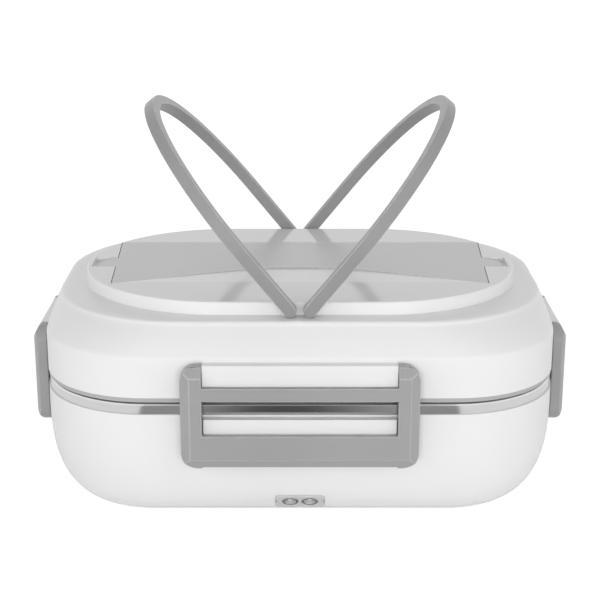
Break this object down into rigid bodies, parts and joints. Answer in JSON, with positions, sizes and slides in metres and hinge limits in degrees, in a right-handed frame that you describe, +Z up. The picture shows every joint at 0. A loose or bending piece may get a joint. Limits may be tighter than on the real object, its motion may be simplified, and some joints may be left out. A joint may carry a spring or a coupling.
{
  "type": "electric lunch box",
  "caption": "White electric lunch box with swing latches on its walls, two folding carry handles, a lift-out steel container and a cutlery cover on the lid.",
  "frame": {"origin": "on the table plane under the middle of the base, between the rubber feet", "axes": "+Z up out of the table, -Y out of the front wall with the power inlet, +X to the right seen from the front"},
  "size_m": [0.2482, 0.1854, 0.1783],
  "materials": {
    "white_plastic": "satin moulded polypropylene",
    "grey_plastic": "fine matt moulded plastic",
    "liner_plastic": "matt moulded plastic",
    "stainless_steel": "drawn sheet, brushed",
    "seal_rubber": "grey silicone",
    "foot_rubber": "matt rubber",
    "plate_aluminium": "turned",
    "heater_ceramic": "matt",
    "zinc_steel": "zinc plated",
    "pin_brass": "plated",
    "lead_brown": "flexible sleeve",
    "lead_blue": "flexible sleeve"
  },
  "bodies": {
    "base": {"base_shell": "white_plastic", "base_liner": "liner_plastic", "feet": "foot_rubber", "base_screws": "zinc_steel", "heating_plate": "plate_aluminium", "plate_seal": "seal_rubber", "heating_blocks": "heater_ceramic", "heater_clamp": "zinc_steel", "clamp_screws": "zinc_steel", "thermostat": "heater_ceramic", "thermal_fuse": "zinc_steel", "lead_live": "lead_brown", "lead_neutral": "lead_blue", "inlet_bezel": "grey_plastic", "inlet_body": "liner_plastic", "inlet_pins": "pin_brass"},
    "container": {"steel_container": "stainless_steel"},
    "lid": {"lid_shell": "white_plastic", "lid_liner": "liner_plastic", "lid_seal": "seal_rubber"},
    "cover": {"cutlery_cover": "grey_plastic"},
    "handle_l": {"handle_left": "grey_plastic"},
    "handle_r": {"handle_right": "grey_plastic"},
    "latch_f": {"latch_front": "grey_plastic"},
    "latch_b": {"latch_back": "grey_plastic"},
    "latch_l": {"latch_left": "grey_plastic"},
    "latch_r": {"latch_right": "grey_plastic"}
  },
  "joints": [
    {"name": "container_lift", "type": "slide", "parent": "base", "child": "container", "axis": [0, 0, 1], "range_m": [0, 0.06]},
    {"name": "lid_lift", "type": "slide", "parent": "container", "child": "lid", "axis": [0, 0, 1], "range_m": [0, 0.08]},
    {"name": "cover_lift", "type": "slide", "parent": "lid", "child": "cover", "axis": [0, 0, 1], "range_m": [0, 0.04]},
    {"name": "handle_left_fold", "type": "hinge", "parent": "lid", "child": "handle_l", "pos_m": [-0.0044, 0, 0.09705], "axis": [0, 1, 0], "range_deg": [-50.8, 39.2]},
    {"name": "handle_right_fold", "type": "hinge", "parent": "lid", "child": "handle_r", "pos_m": [0.0044, 0, 0.09705], "axis": [0, -1, 0], "range_deg": [-50.8, 39.2]},
    {"name": "latch_front_swing", "type": "hinge", "parent": "lid", "child": "latch_f", "pos_m": [0, -0.0885, 0.0762], "axis": [-1, 0, 0], "range_deg": [0, 100]},
    {"name": "latch_right_swing", "type": "hinge", "parent": "lid", "child": "latch_r", "pos_m": [0.1199, 0, 0.0733], "axis": [0, -1, 0], "range_deg": [0, 100]},
    {"name": "latch_back_swing", "type": "hinge", "parent": "lid", "child": "latch_b", "pos_m": [0, 0.0885, 0.0762], "axis": [1, 0, 0], "range_deg": [0, 100]},
    {"name": "latch_left_swing", "type": "hinge", "parent": "lid", "child": "latch_l", "pos_m": [-0.1199, 0, 0.0733], "axis": [0, 1, 0], "range_deg": [0, 100]}
  ]
}
